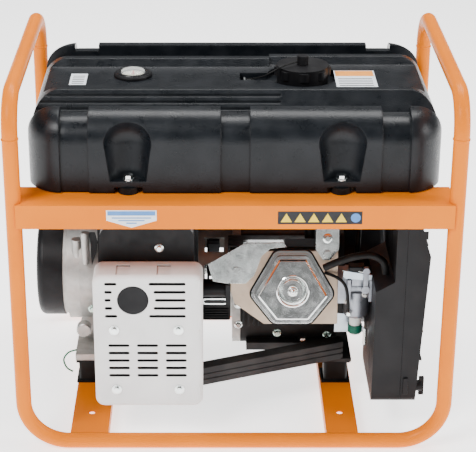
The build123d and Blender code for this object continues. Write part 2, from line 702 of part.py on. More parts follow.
def spark_arrestor():
    """The outlet tube, closed by its mesh disc."""
    return rod_y(OUTLET_R, OUTLET_X, (SHIELD_Y[0] - 0.5, MUFFLER_Y[0]), OUTLET_Z)


def shield_slots():
    """Round-ended slots: five rows cut short by the outlet, and five rows of three below."""
    cuts = []
    y = (SHIELD_Y[0] - 5, SHIELD_Y[0] + 8)
    clear = OUTLET_R + 8
    for i in range(-2, 3):
        z = OUTLET_Z - i * 14.2
        half = (clear ** 2 - (i * 11.5) ** 2) ** 0.5
        cuts.append(slot_y(-206, OUTLET_X - half - 3, z, y))
        cuts.append(slot_y(OUTLET_X + half + 3, -77, z, y))
    for i in range(5):
        z = 177 - i * 13.6
        for x in (-202, -156, -110):
            cuts.append(slot_y(x, x + 34, z, y))
    return cuts


SCREWS = [(-192, 205), (-89, 205), (-190, 97), (-88, 97)]


def heat_shield():
    """Dished silver cover in front of the muffler."""
    pan = soft(block(SHIELD_X, SHIELD_Y, SHIELD_Z), 15, Axis.Y)
    pan = fillet(pan.faces().sort_by(Axis.Y)[0].edges(), 8)
    inner = [(v[0] + 1.6, v[1] - 1.6) for v in (SHIELD_X, SHIELD_Z)]
    hollow = soft(block(inner[0], (SHIELD_Y[0] + 1.6, SHIELD_Y[1] + 1), inner[1]), 13.4, Axis.Y)
    hollow = fillet(hollow.faces().sort_by(Axis.Y)[0].edges(), 6.4)
    for x in DIMPLES:
        across = (SHIELD_Y[0] + 6, SHIELD_Y[1] - 12)
        pocket = block((x - 11, x + 11), across, (SHIELD_Z[1] - 3, SHIELD_Z[1] + 1))
        pan -= pocket
        hollow -= Pos(0, 0, -1.6) * pocket
    pan -= hollow
    for cut in shield_slots():
        pan -= cut
    pan -= rod_y(OUTLET_R + 1, OUTLET_X, (SHIELD_Y[0] - 5, SHIELD_Y[0] + 8), OUTLET_Z)
    for x, z in SCREWS:
        pan -= rod_y(3.1, x, (SHIELD_Y[0] - 5, SHIELD_Y[0] + 8), z)
    return pan


def heat_shield_screws():
    """Flanged screws on the posts that hold the shield off the muffler."""
    made = []
    for x, z in SCREWS:
        post = rod_y(7, x, (SHIELD_Y[0] + 1.6, MUFFLER_Y[0]), z)
        face = SHIELD_Y[0]
        head = rod_y(8, x, (face - 1.5, face), z) + rod_y(5, x, (face - 5.5, face - 1.5), z)
        made.append(post + head + rod_y(3, x, (SHIELD_Y[0] - 1, SHIELD_Y[0] + 2), z))
    return made


def muffler_strut():
    """Folded steel strut from the muffler's foot to the engine base."""
    ax, ay, bx, by = -57, -147, 186, -56
    length = ((bx - ax) ** 2 + (by - ay) ** 2) ** 0.5
    angle = 180 / pi * ((by - ay) / (bx - ax))
    section = Box(length, 22, 32) - Pos(0, 3, -3) * Box(length, 22, 32)
    for z in (-5, 5):
        section -= Pos(0, -11, z) * Rot(0, 90, 0) * Cylinder(1.5, length)
    return Pos((ax + bx) / 2, (ay + by) / 2, CASE_BOTTOM + 16) * Rot(0, 0, angle) * section


# ---- Alternator -------------------------------------------------------------------------
def fan_housing():
    """Ring between engine and stator, with the windows that blow the cooling air out."""
    ring = ring_x(FAN_CASE_R, FAN_CASE_R - 6, FAN_CASE_X)
    for i in range(12):
        window = Pos(0, 0, FAN_CASE_R) * Box(34, 26, 30)
        ring -= Pos(-31, CRANK_Y, CRANK_Z) * Rot(i * 30 + 15, 0, 0) * window
    return ring


def stator():
    """Laminated core, with the windings' ends proud of both faces."""
    core = ring_x(STATOR_R, ROTOR_R + 1.2, STATOR_X)
    ends = [ring_x(STATOR_R - 12, 66, (STATOR_X[0] - 16, STATOR_X[0])),
            ring_x(STATOR_R - 16, 66, (STATOR_X[1], STATOR_X[1] + 14))]
    return [core, *ends]


def alternator_rotor():
    """Wound rotor on its shaft, with the cooling fan and the slip rings."""
    rotor = rod_x(ROTOR_R, (STATOR_X[0] + 8, STATOR_X[1] - 8))
    rotor += rod_x(15, (BRACKET_X[0] - 8, STATOR_X[0] + 8))
    rotor += rod_x(20, (STATOR_X[1] - 8, -60))
    fan = rod_x(60, (-44, -40)) - rod_x(SHAFT_R, (-44, -40))
    for i in range(9):
        blade = Pos(0, 0, 62) * Box(20, 3, 38)
        fan += Pos(-32, CRANK_Y, CRANK_Z) * Rot(i * 40, 0, 0) * blade
    fan -= rod_x(SHAFT_R, (-44, -18))
    return [rotor, fan]


def end_bracket():
    """Cast end bell of the alternator, with its bearing seat, bosses and foot."""
    x0, x1 = BRACKET_X
    bell = ring_x(STATOR_R + 3, STATOR_R - 9, (x0 + 30, x1))
    bell += ring_x(COVER_R - 2, 16, (x0, x0 + 10))
    bell += rod_x(STATOR_R - 4, (x0 + 8, x0 + 32)) - rod_x(STATOR_R - 12, (x0 + 8, x0 + 32))
    bell -= rod_x(16, (x0 - 1, x0 + 60))
    for side in (-1, 1):
        boss = rod_z(9, x0 + 26, CRANK_Y + side * 74, (CRANK_Z + 10, CRANK_Z + 80))
        bell += boss - rod_x(STATOR_R - 12, (x0 + 8, x1))
    foot = block((-270, -224), (-62, 172), (MOUNT_TOP, MOUNT_TOP + 12))
    legs = block((-262, -228), (0, 160), (MOUNT_TOP + 12, CRANK_Z - 60))
    return bell + foot + (legs - rod_x(STATOR_R - 2, (-300, -200)))


def end_cover():
    """Black plastic cap over the brushes and the regulator."""
    cup = rod_x(COVER_R, COVER_X)
    cup = fillet(cup.edges().group_by(Axis.X)[0], 12)
    cup -= rod_x(COVER_R - 4, (COVER_X[0] + 4, COVER_X[1] + 1))
    for i in range(-4, 5):
        z = CRANK_Z + i * 14
        cup -= block((COVER_X[0] - 1, COVER_X[0] + 6), (CRANK_Y - 40, CRANK_Y + 40), (z - 2.5, z + 2.5))
    return cup


# ---- Flywheel and starter ---------------------------------------------------------------
def flywheel():
    """Flywheel with fan blades, and the cup that the starter grips."""
    wheel = rod_x(92, (198, 214))
    for i in range(14):
        wheel += Pos(224, CRANK_Y, CRANK_Z) * Rot(i * 360 / 14, 0, 0) * (Pos(0, 0, 70) * Box(22, 3, 40))
    wheel += ring_x(34, 30, (214, 258))
    return wheel - rod_x(12.02, (190, 260))


def blower_housing():
    """Black sheet housing around the flywheel."""
    x0, x1 = BLOWER_X
    shell = rod_x(BLOWER_R, (x0 + 0.3, x1))
    shell = fillet(shell.edges().group_by(Axis.X)[-1], 10)
    shell -= rod_x(BLOWER_R - 3, (x0 - 1, x1 - 3))
    return shell - rod_x(RECOIL_R - 6, (x1 - 10, x1 + 1))


def recoil_housing():
    """Starter housing with cooling slots, and the bush that the rope leaves by."""
    x0, x1 = RECOIL_X
    shell = rod_x(RECOIL_R, (x0, x1))
    shell = fillet(shell.edges().group_by(Axis.X)[-1], 8)
    shell -= rod_x(RECOIL_R - 4, (x0 - 1, x1 - 4))
    for i in range(16):
        slot = Pos(0, 0, 52) * Box(12, 5, 34)
        shell -= Pos(x1, CRANK_Y, CRANK_Z) * Rot(i * 22.5, 0, 0) * slot
    z = CRANK_Z + PULLEY_R
    shell += rod_y(8, ROPE_X, (CRANK_Y + 48, CRANK_Y + 64), z) - rod_x(RECOIL_R - 4, RECOIL_X)
    shell -= rod_y(ROPE_R + 1, ROPE_X, (CRANK_Y + 30, CRANK_Y + 70), z)
    return shell + rod_x(8, (x0 + 4, x1 - 3))


def starter_pulley():
    """Grooved pulley, its groove nearly full of the rope's wound turns."""
    pulley = ring_x(PULLEY_R + 4, 8.05, (ROPE_X - 7, ROPE_X + 7))
    return pulley - ring_x(PULLEY_R + 5, PULLEY_R - 2.4, (ROPE_X - 4, ROPE_X + 4))


def starter_handle():
    """Grip on the end of the rope, across it."""
    z = CRANK_Z + PULLEY_R
    grip = block((ROPE_X - 12, ROPE_X + 12), GRIP_Y, (z - 45, z + 45))
    grip = fillet(grip.edges().filter_by(Axis.X), 10)
    grip = fillet(grip.edges().filter_by(Axis.Z), 5)
    return grip + rod_y(7, ROPE_X, (GRIP_Y[0] - 7, GRIP_Y[0]), z)


def starter_rope():
    return rod_y(ROPE_R, ROPE_X, (CRANK_Y, GRIP_Y[0] - 7.1), CRANK_Z + PULLEY_R)


# ---- Control panel ----------------------------------------------------------------------
def panel_box():
    """Steel box behind the panel."""
    box = block(PANEL_X, (PANEL_Y[0], PANEL_Y[1] - 2), PANEL_Z)
    inner = [(v[0] + 2, v[1] - 2) for v in (PANEL_X, PANEL_Z)]
    return box - block(inner[0], (PANEL_Y[0] + 2, PANEL_Y[1]), inner[1])


def panel_face():
    plate = block(PANEL_X, (PANEL_Y[1] - 2, PANEL_Y[1] + 0.5), PANEL_Z)
    return soft(plate, 6, Axis.Y)


def socket(x):
    """A mains socket with its collar and the two ears that hold the lid's pin."""
    y = PANEL_Y[1] + 0.5
    body = block((x - 32, x + 32), (y, y + 3), (SOCKET_Z - 32, SOCKET_Z + 32))
    body += rod_y(SOCKET_R, x, (y, LID_Y - 0.5), SOCKET_Z)
    body -= rod_y(SOCKET_R - 5, x, (y + 2, LID_Y + 1), SOCKET_Z)
    for side in (-1, 1):
        ear = sorted((x + side * 10, x + side * 16))
        body += block(ear, (y + 3, LID_Y + 4.5), (PIN_Z - 3, PIN_Z + 3))
    return body - rod_x(PIN_R + RUN, (x - 20, x + 20), PIN_Y, PIN_Z)


def socket_lid(x):
    """Sprung lid above the socket, with its hinge pin along X."""
    lid = rod_y(SOCKET_R, x, (LID_Y, LID_Y + 4), SOCKET_Z)
    lid += block((x - 9.5, x + 9.5), (LID_Y, LID_Y + 4), (SOCKET_Z + 20, PIN_Z + 2))
    return lid + rod_x(PIN_R, (x - 15, x + 15), PIN_Y, PIN_Z)


def voltmeter():
    y = PANEL_Y[1] + 0.5
    case = soft(block((METER_X - 30, METER_X + 30), (y, y + 8), (330, 390)), 6, Axis.Y)
    return case - block((METER_X - 24, METER_X + 24), (y + 6, y + 9), (350, 384))


def breaker():
    y = PANEL_Y[1] + 0.5
    case = block((BREAKER_X - 14, BREAKER_X + 14), (y, y + 7), (290, 345))
    case -= block((BREAKER_X - 6.5, BREAKER_X + 6.5), (y + 1, y + 8), (304, 331))
    return case


def breaker_toggle():
    """Toggle that rocks about X."""
    y = PANEL_Y[1] + 0.5
    lever = block((BREAKER_X - 5, BREAKER_X + 5), (y + 6, y + 18), (314, 321))
    return lever + rod_x(5, (BREAKER_X - 6, BREAKER_X + 6), y + 6.5, 317.5)


def engine_switch():
    y = PANEL_Y[1] + 0.5
    return rod_y(17, SWITCH_X, (y, y + 4), SWITCH_Z)


def switch_knob():
    """Rotary key knob for stop, run and start."""
    y = PANEL_Y[1] + 4.8
    grip = block((SWITCH_X - 4, SWITCH_X + 4), (y + 6, y + 18), (SWITCH_Z - 13, SWITCH_Z + 13))
    return rod_y(11, SWITCH_X, (y, y + 6), SWITCH_Z) + grip


def ground_stud():
    y = PANEL_Y[1] + 0.5
    nut = Pos(BREAKER_X, y, 250) * Rot(-90, 0, 0) * extrude(RegularPolygon(9, 6), 5)
    return nut + rod_y(3, BREAKER_X, (y + 4, y + 22), 250)


def panel_screws():
    made = []
    for x in (PANEL_X[0] + 12, PANEL_X[1] - 12):
        for z in (PANEL_Z[0] + 12, PANEL_Z[1] - 40):
            made.append(rod_y(5, x, (PANEL_Y[1] + 0.5, PANEL_Y[1] + 4), z))
    return made


GROUND_WIRE = [(-268, -63.5, 88), (-282, -64, 84), (-292, -64, 70), (-286, -63, 52), (-276, -60, 44)]


def ground_wire():
    """Short earth lead from the alternator's foot to the lower plate of its mount."""
    return hose("ground_wire", GROUND_WIRE, 1.5)


# ---- Writing the parts ------------------------------------------------------------------
def as_shape(made):
    return Compound(children=list(made)) if isinstance(made, list) else made


def main():
    os.makedirs("parts", exist_ok=True)
    mounts = [piece for x in MOUNT_X.values() for y in MOUNT_Y for piece in rubber_mount(x, y)]
    fixings = [*tank_bolts(), *engine_bolts(), *heat_shield_screws(), *panel_screws()]
    fixings += [tether_tab(), ground_stud()]
    makers = {
        "front_hoop": lambda: hoop(-1), "rear_hoop": lambda: hoop(1),
        "left_top_bar": lambda: top_bar(-1), "right_top_bar": lambda: top_bar(1),
        "front_tank_rail": lambda: tank_rail(-1), "rear_tank_rail": lambda: tank_rail(1),
        "rubber_mounts": lambda: mounts, "zinc_fixings": lambda: fixings,
        "head_shields": lambda: [head_shield(), lifting_tab()],
        "muffler": lambda: [muffler_body() + exhaust_pipe(), spark_arrestor()],
        "engine_base": lambda: [base_plate(), muffler_strut()],
        "control_panel": lambda: [panel_box(), panel_face()],
        "panel_fittings": lambda: [voltmeter(), breaker(), engine_switch()],
        "socket_left": lambda: socket(SOCKET_X[0]), "socket_right": lambda: socket(SOCKET_X[1]),
        "socket_lid_left": lambda: socket_lid(SOCKET_X[0]),
        "socket_lid_right": lambda: socket_lid(SOCKET_X[1]),
    }
    for name, (middle, width) in BASE_RAILS.items():
        makers[name] = lambda m=middle, w=width: base_rail(m, w)
    plain = (fuel_tank, tank_grommets, fuel_cap, cap_knob, cap_tether, fuel_gauge, gauge_window,
             gauge_needle, fuel_tap, tap_lever, fuel_hose, engine_block, crankcase_cover,
             crankshaft, piston, cylinder_head, valve_cover, cylinder_shroud, plug_lead,
             carburetor, fuel_cut_solenoid, choke_lever, air_cleaner_base, air_filter,
             air_cleaner_cover, breather_hose, heat_shield, fan_housing, stator,
             alternator_rotor, end_bracket, end_cover, flywheel, blower_housing,
             recoil_housing, starter_pulley, starter_handle, starter_rope, breaker_toggle,
             switch_knob, ground_wire)
    for maker in plain:
        makers[maker.__name__] = maker
    print(len(makers), "nodes")
    for name, maker in makers.items():
        export_step(as_shape(maker()), f"parts/{name}.step")


main()
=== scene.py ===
"""Looks of the portable generator: materials, moulded and pressed detail, labels, floor and light."""

import math

import bmesh
import bpy
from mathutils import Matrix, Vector


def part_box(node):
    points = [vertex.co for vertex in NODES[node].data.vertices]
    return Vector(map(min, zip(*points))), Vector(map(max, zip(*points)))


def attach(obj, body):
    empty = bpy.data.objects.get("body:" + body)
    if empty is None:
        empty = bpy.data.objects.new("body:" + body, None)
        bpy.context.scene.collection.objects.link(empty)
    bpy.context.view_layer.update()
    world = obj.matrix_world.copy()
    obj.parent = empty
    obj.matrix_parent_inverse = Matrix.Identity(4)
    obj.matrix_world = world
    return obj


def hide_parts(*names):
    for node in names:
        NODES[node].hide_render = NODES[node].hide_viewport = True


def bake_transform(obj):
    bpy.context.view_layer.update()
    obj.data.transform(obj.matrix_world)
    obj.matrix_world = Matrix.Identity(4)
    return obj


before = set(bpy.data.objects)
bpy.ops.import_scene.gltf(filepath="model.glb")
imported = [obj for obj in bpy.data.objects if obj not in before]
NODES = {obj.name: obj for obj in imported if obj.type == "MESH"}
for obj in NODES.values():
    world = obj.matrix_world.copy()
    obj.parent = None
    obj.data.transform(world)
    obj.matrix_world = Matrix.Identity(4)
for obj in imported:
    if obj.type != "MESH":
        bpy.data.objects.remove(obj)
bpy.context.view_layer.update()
ROOT = "generator"


def mm(*values):
    """A point in millimetres as a vector in metres."""
    return Vector(values) / 1000


# ---- Materials --------------------------------------------------------------------------
DIM_SHINE = 0.18            # specular level of most surfaces, which keeps the blacks deep
PAINT_SHINE = 0.1
LENS_SHINE = 0.5
LENS_ALPHA = 0.22
MOULDED_EDGE = 0.0010       # radius of a moulded edge, in metres; blown plastic has a larger one


class Shader:
    """A material's node tree, with short ways to add what surfaces here need."""

    def __init__(self, name, color, rough, metallic=0.0):
        self.material = bpy.data.materials.new(name)
        self.material.use_nodes = True
        self.tree = self.material.node_tree
        self.bsdf = self.tree.nodes["Principled BSDF"]
        self.bsdf.inputs["Base Color"].default_value = (*color, 1)
        self.bsdf.inputs["Roughness"].default_value = rough
        self.bsdf.inputs["Metallic"].default_value = metallic
        self.bsdf.inputs["Specular IOR Level"].default_value = DIM_SHINE
        self.color = color
        self.place = self.tree.nodes.new("ShaderNodeTexCoord").outputs["Object"]
        self.normal = None

    def noise(self, scale, detail=3.0, rough=0.5, stretch=None):
        place = self.place
        if stretch:
            mapping = self.tree.nodes.new("ShaderNodeMapping")
            mapping.inputs["Scale"].default_value = stretch
            self.tree.links.new(place, mapping.inputs["Vector"])
            place = mapping.outputs["Vector"]
        node = self.tree.nodes.new("ShaderNodeTexNoise")
        node.inputs["Scale"].default_value = scale
        node.inputs["Detail"].default_value = detail
        node.inputs["Roughness"].default_value = rough
        self.tree.links.new(place, node.inputs["Vector"])
        return node.outputs["Fac"]

    def spread(self, value, low, high, out_low=0.0, out_high=1.0):
        """Value between low and high, stretched to another range."""
        node = self.tree.nodes.new("ShaderNodeMapRange")
        limits = {"From Min": low, "From Max": high, "To Min": out_low, "To Max": out_high}
        for name, number in limits.items():
            node.inputs[name].default_value = number
        self.tree.links.new(value, node.inputs["Value"])
        return node.outputs["Result"]

    def vary_color(self, value, other):
        mix = self.tree.nodes.new("ShaderNodeMix")
        mix.data_type = "RGBA"
        mix.inputs["A"].default_value = (*self.color, 1)
        mix.inputs["B"].default_value = (*other, 1)
        self.tree.links.new(value, mix.inputs["Factor"])
        self.tree.links.new(mix.outputs["Result"], self.bsdf.inputs["Base Color"])

    def vary_rough(self, value):
        self.tree.links.new(value, self.bsdf.inputs["Roughness"])

    def bump(self, value, height, strength=1.0):
        node = self.tree.nodes.new("ShaderNodeBump")
        node.inputs["Distance"].default_value = height
        node.inputs["Strength"].default_value = strength
        self.tree.links.new(value, node.inputs["Height"])
        if self.normal:
            self.tree.links.new(self.normal, node.inputs["Normal"])
        self.normal = node.outputs["Normal"]
        self.tree.links.new(self.normal, self.bsdf.inputs["Normal"])

    def soft_edges(self, radius):
        node = self.tree.nodes.new("ShaderNodeBevel")
        node.samples = 4
        node.inputs["Radius"].default_value = radius
        self.normal = node.outputs["Normal"]
        self.tree.links.new(self.normal, self.bsdf.inputs["Normal"])

    def coat(self, weight, rough):
        self.bsdf.inputs["Coat Weight"].default_value = weight
        self.bsdf.inputs["Coat Roughness"].default_value = rough


def powder_coat(name, color, darker):
    """Smooth powder coat, with a faint orange peel and slightly uneven gloss."""
    s = Shader(name, color, 0.34)
    s.soft_edges(0.0012)
    s.vary_color(s.spread(s.noise(9, 4), 0.35, 0.75), darker)
    s.vary_rough(s.spread(s.noise(40, 4), 0.3, 0.7, 0.28, 0.4))
    s.bump(s.noise(420, 2), 0.00025, 0.25)
    s.bsdf.inputs["Specular IOR Level"].default_value = PAINT_SHINE
    return s.material


def moulded(name, color, lighter, rough, grain, height, edge=MOULDED_EDGE):
    """Moulded plastic with a spark-eroded grain."""
    s = Shader(name, color, rough)
    s.soft_edges(edge)
    s.vary_color(s.spread(s.noise(30, 5), 0.4, 0.75), lighter)
    s.vary_rough(s.spread(s.noise(60, 4), 0.3, 0.7, rough - 0.05, rough + 0.08))
    s.bump(s.noise(grain, 3, 0.6), height, 0.6)
    if edge > MOULDED_EDGE:
        s.coat(0.1, 0.25)
    return s.material


def dark_paint(name, color, lighter, rough=0.38):
    """Satin engine enamel over sheet or casting."""
    s = Shader(name, color, rough)
    s.soft_edges(0.0008)
    s.vary_color(s.spread(s.noise(25, 5), 0.4, 0.7), lighter)
    s.vary_rough(s.spread(s.noise(80, 4), 0.3, 0.7, rough - 0.08, rough + 0.1))
    s.bump(s.noise(500, 3), 0.0003, 0.35)
    return s.material


def sand_cast(name, color, darker, rough=0.45):
    """Cast aluminium: grainy skin, dull and bright patches."""
    s = Shader(name, color, rough, 0.85)
    s.soft_edges(0.0010)
    s.vary_color(s.spread(s.noise(22, 6, 0.65), 0.35, 0.7), darker)
    s.vary_rough(s.spread(s.noise(90, 5), 0.3, 0.7, rough - 0.1, rough + 0.15))
    s.bump(s.noise(650, 4, 0.6), 0.0005, 0.5)
    return s.material


def zinc(name, color, tint, rough=0.2):
    """Bright zinc plating with cloudy, faintly tinted patches."""
    s = Shader(name, color, rough, 1.0)
    s.soft_edges(0.0007)
    s.vary_color(s.spread(s.noise(26, 5, 0.6), 0.35, 0.7), tint)
    s.vary_rough(s.spread(s.noise(70, 5), 0.3, 0.7, rough - 0.04, rough + 0.06))
    s.bump(s.noise(300, 3), 0.0001, 0.3)
    return s.material


def rubber(name, color, lighter):
    """Dull rubber with a fine grain."""
    s = Shader(name, color, 0.55)
    s.vary_color(s.spread(s.noise(60, 4), 0.4, 0.7), lighter)
    s.vary_rough(s.spread(s.noise(120, 4), 0.3, 0.7, 0.42, 0.66))
    s.bump(s.noise(900, 3), 0.0002, 0.5)
    return s.material


def smooth_plastic(name, color, darker, rough=0.25):
    """Polished plastic, almost without grain."""
    s = Shader(name, color, rough)
    s.vary_color(s.spread(s.noise(50, 3), 0.4, 0.8), darker)
    s.vary_rough(s.spread(s.noise(90, 3), 0.3, 0.7, rough - 0.05, rough + 0.08))
    s.bump(s.noise(700, 2), 0.0001, 0.3)
    return s.material


def printed(name, color, darker, rough=0.4):
    """Printed label film, almost flat."""
    s = Shader(name, color, rough)
    s.vary_color(s.spread(s.noise(120, 3), 0.4, 0.8), darker)
    s.vary_rough(s.spread(s.noise(50, 3), 0.3, 0.7, rough - 0.06, rough + 0.08))
    s.bump(s.noise(300, 2), 0.00005, 0.3)
    return s.material


def laminated(name):
    """Stacked steel laminations, seen edge on along X."""
    s = Shader(name, (0.10, 0.10, 0.11), 0.4, 0.7)
    s.vary_color(s.noise(60, 4, 0.6, (25, 1, 1)), (0.04, 0.04, 0.045))
    s.bump(s.noise(60, 2, 0.5, (30, 0.5, 0.5)), 0.0004, 0.7)
    return s.material


def clear(name):
    """Thin clear plastic."""
    s = Shader(name, (0.95, 0.98, 0.96), 0.05)
    s.bsdf.inputs["Alpha"].default_value = LENS_ALPHA
    s.bsdf.inputs["Specular IOR Level"].default_value = LENS_SHINE
    s.bump(s.noise(40, 2), 0.0001, 0.2)
    return s.material


ORANGE = powder_coat("orange_paint", (0.80, 0.20, 0.0), (0.72, 0.17, 0.0))
TANK = moulded("tank_plastic", (0.0045, 0.006, 0.008), (0.012, 0.014, 0.017), 0.30, 480, 0.0008, 0.004)
BLACK = moulded("black_plastic", (0.005, 0.005, 0.006), (0.012, 0.012, 0.013), 0.42, 900, 0.0003)
GLOSS_BLACK = smooth_plastic("gloss_black", (0.008, 0.008, 0.009), (0.015, 0.015, 0.017), 0.22)
ENAMEL = dark_paint("black_enamel", (0.003, 0.003, 0.004), (0.009, 0.009, 0.01))
GREY_ENAMEL = dark_paint("grey_enamel", (0.022, 0.022, 0.023), (0.045, 0.043, 0.042), 0.45)
CASTING = sand_cast("casting", (0.55, 0.54, 0.52), (0.36, 0.35, 0.33))
WARM_CASTING = sand_cast("warm_casting", (0.62, 0.49, 0.38), (0.48, 0.37, 0.28), 0.4)
CARB_CASTING = sand_cast("carburettor_casting", (0.34, 0.36, 0.40), (0.22, 0.23, 0.26), 0.35)
ZINC = zinc("zinc", (0.90, 0.93, 0.92), (0.82, 0.88, 0.86))
CHROME = zinc("bright_pressing", (0.96, 0.97, 0.97), (0.90, 0.94, 0.92), 0.1)
BLUE_ZINC = zinc("blue_zinc", (0.50, 0.56, 0.60), (0.38, 0.44, 0.50), 0.3)
GREEN_ZINC = zinc("passivated_zinc", (0.45, 0.62, 0.55), (0.65, 0.70, 0.62), 0.25)
SILVER = dark_paint("silver_paint", (0.76, 0.75, 0.74), (0.82, 0.81, 0.80), 0.42)
RUBBER = rubber("black_rubber", (0.004, 0.004, 0.004), (0.012, 0.012, 0.012))
STEEL_LAMS = laminated("laminations")
WHITE_NYLON = smooth_plastic("white_nylon", (0.80, 0.80, 0.78), (0.70, 0.70, 0.66))
GREEN_NYLON = smooth_plastic("green_nylon", (0.005, 0.10, 0.06), (0.004, 0.07, 0.045))
BLUE = smooth_plastic("blue_plastic", (0.012, 0.06, 0.30), (0.01, 0.045, 0.24), 0.3)
RED = smooth_plastic("needle_red", (0.65, 0.02, 0.01), (0.5, 0.015, 0.01))
LENS = clear("clear_lens")
FOAM = rubber("filter_foam", (0.10, 0.10, 0.09), (0.18, 0.18, 0.16))
LABEL_WHITE = printed("label_white", (0.78, 0.82, 0.86), (0.72, 0.77, 0.82))
LABEL_BLUE = printed("label_blue", (0.10, 0.25, 0.55), (0.08, 0.21, 0.48))
LABEL_BLACK = printed("label_black", (0.02, 0.02, 0.022), (0.03, 0.03, 0.032))
LABEL_YELLOW = printed("label_yellow", (0.85, 0.60, 0.04), (0.78, 0.54, 0.03))
LABEL_ORANGE = printed("label_orange", (0.85, 0.33, 0.06), (0.78, 0.28, 0.05))
CREAM = printed("dial_cream", (0.80, 0.78, 0.66), (0.75, 0.73, 0.60))
EARTH = smooth_plastic("earth_lead", (0.03, 0.16, 0.07), (0.02, 0.1, 0.05))

LOOKS = {
    "front_hoop rear_hoop left_top_bar right_top_bar front_tank_rail rear_tank_rail": ORANGE,
    "left_base_rail right_base_rail": ORANGE,
    "fuel_tank": TANK,
    "fuel_cap cap_knob fuel_gauge air_cleaner_base air_cleaner_cover end_cover starter_handle": BLACK,
    "switch_knob breaker_toggle panel_fittings tap_lever": GLOSS_BLACK,
    "rubber_mounts tank_grommets fuel_hose breather_hose plug_lead cap_tether": RUBBER,
    "zinc_fixings head_shields crankshaft": ZINC,
    "choke_lever": CARB_CASTING,
    "valve_cover": CHROME,
    "cylinder_head": WARM_CASTING,
    "carburetor": CARB_CASTING,
    "end_bracket piston fuel_tap fan_housing crankcase_cover": CASTING,
    "engine_block engine_base": GREY_ENAMEL,
    "cylinder_shroud muffler blower_housing recoil_housing flywheel control_panel": ENAMEL,
    "heat_shield": SILVER,
    "stator alternator_rotor": STEEL_LAMS,
    "fuel_cut_solenoid starter_pulley starter_rope": WHITE_NYLON,
    "socket_left socket_right socket_lid_left socket_lid_right": BLUE,
    "gauge_window": LENS,
    "gauge_needle": RED,
    "air_filter": FOAM,
    "ground_wire": EARTH,
}


def dress_frame():
    """Gives every CAD node its material."""
    for names, material in LOOKS.items():
        for name in names.split():
            mesh = NODES[name].data
            mesh.materials.clear()
            mesh.materials.append(material)
            for polygon in mesh.polygons:
                polygon.material_index = 0


dress_frame()


# ---- Trim -------------------------------------------------------------------------------
FILM = 0.25                 # thickness of a printed label
SHARP = math.radians(35)
ROUND = 40                  # facets of a turned piece
FRONT_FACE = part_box("front_tank_rail")[0].y * 1000
DECK_Z = 562
CRANK_Y, CRANK_Z = 80, 185
CYLINDER_X = 96
CYLINDER_TILT = math.radians(14)
HEAD_TOP = 214              # crank axis to the top face of the head
PULLEY_R = 60               # the starter rope leaves the pulley at its top
FRAME_X, FRAME_Y = 340, 235  # middles of the hoops' legs
WELD_Z = 538
AXIS_OUT = Vector((0, -math.cos(CYLINDER_TILT), math.sin(CYLINDER_TILT)))
AXIS_UP = Vector((0, math.sin(CYLINDER_TILT), math.cos(CYLINDER_TILT)))
X, Y, Z = Vector((1, 0, 0)), Vector((0, 1, 0)), Vector((0, 0, 1))


def on_head(right, up, out):
    """A point beside the cylinder's axis, in millimetres from the crank."""
    return mm(CYLINDER_X + right, CRANK_Y, CRANK_Z) + (AXIS_UP * up + AXIS_OUT * out) / 1000


def piece(name, bm, material, body=ROOT, edge=0.0):
    """Makes the object, rounds its edges and joins it to a body."""
    bmesh.ops.recalc_face_normals(bm, faces=bm.faces)
    mesh = bpy.data.meshes.new(name)
    bm.to_mesh(mesh)
    bm.free()
    for polygon in mesh.polygons:
        polygon.use_smooth = True
    mesh.set_sharp_from_angle(angle=SHARP)
    mesh.materials.append(material)
    made = bpy.data.objects.new(name, mesh)
    bpy.context.scene.collection.objects.link(made)
    if edge:
        rounding = made.modifiers.new("rounding", "BEVEL")
        rounding.width, rounding.segments = edge / 1000, 3
        rounding.limit_method = "ANGLE"
    if body:
        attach(made, body)
    return made


def pad(name, low, high, material, slot, edge=0.8, body=ROOT):
    """A rounded block between two corners."""
    bm = bmesh.new()
    bmesh.ops.create_cube(bm, size=1)
    low, high = mm(*low), mm(*high)
    for v in bm.verts:
        v.co = Vector(low[i] + (v.co[i] + 0.5) * (high[i] - low[i]) for i in range(3))
    return piece(name, bm, material, body, edge)


def prism(name, outline, at, right, up, thick, material, slot, edge=0.0, body=ROOT):
    """A plate of that outline, standing out of a face along right x up."""
    out = right.cross(up) * thick / 1000
    bm = bmesh.new()
    base = [at + (right * a + up * b) / 1000 for a, b in outline]
    low = [bm.verts.new(p) for p in base]
    high = [bm.verts.new(p + out) for p in base]
    bm.faces.new(low)
    bm.faces.new(high)
    for i in range(len(low)):
        k = (i + 1) % len(low)
        bm.faces.new((low[i], low[k], high[k], high[i]))
    return piece(name, bm, material, body, edge)


def oblong(left, low, right, high):
    """The outline of a rectangle."""
    return [(left, low), (right, low), (right, high), (left, high)]


def circle(x, y, r, count=28):
    """A round outline."""
    return [(x + r * math.cos(2 * math.pi * i / count), y + r * math.sin(2 * math.pi * i / count))
            for i in range(count)]


def rounded(corners, r, steps=6):
    """The outline through these corners, each replaced by an arc of radius r."""
    outline = []
    for i, corner in enumerate(corners):
        at = Vector(corner)
        before = (Vector(corners[i - 1]) - at).normalized()
        after = (Vector(corners[(i + 1) % len(corners)]) - at).normalized()
        half = before.angle(after) / 2
        middle = at + (before + after).normalized() * r / math.sin(half)
        first = at + before * r / math.tan(half) - middle
        last = at + after * r / math.tan(half) - middle
        for k in range(steps + 1):
            point = first.lerp(last, k / steps).normalized() * r + middle
            outline.append((point.x, point.y))
    return outline


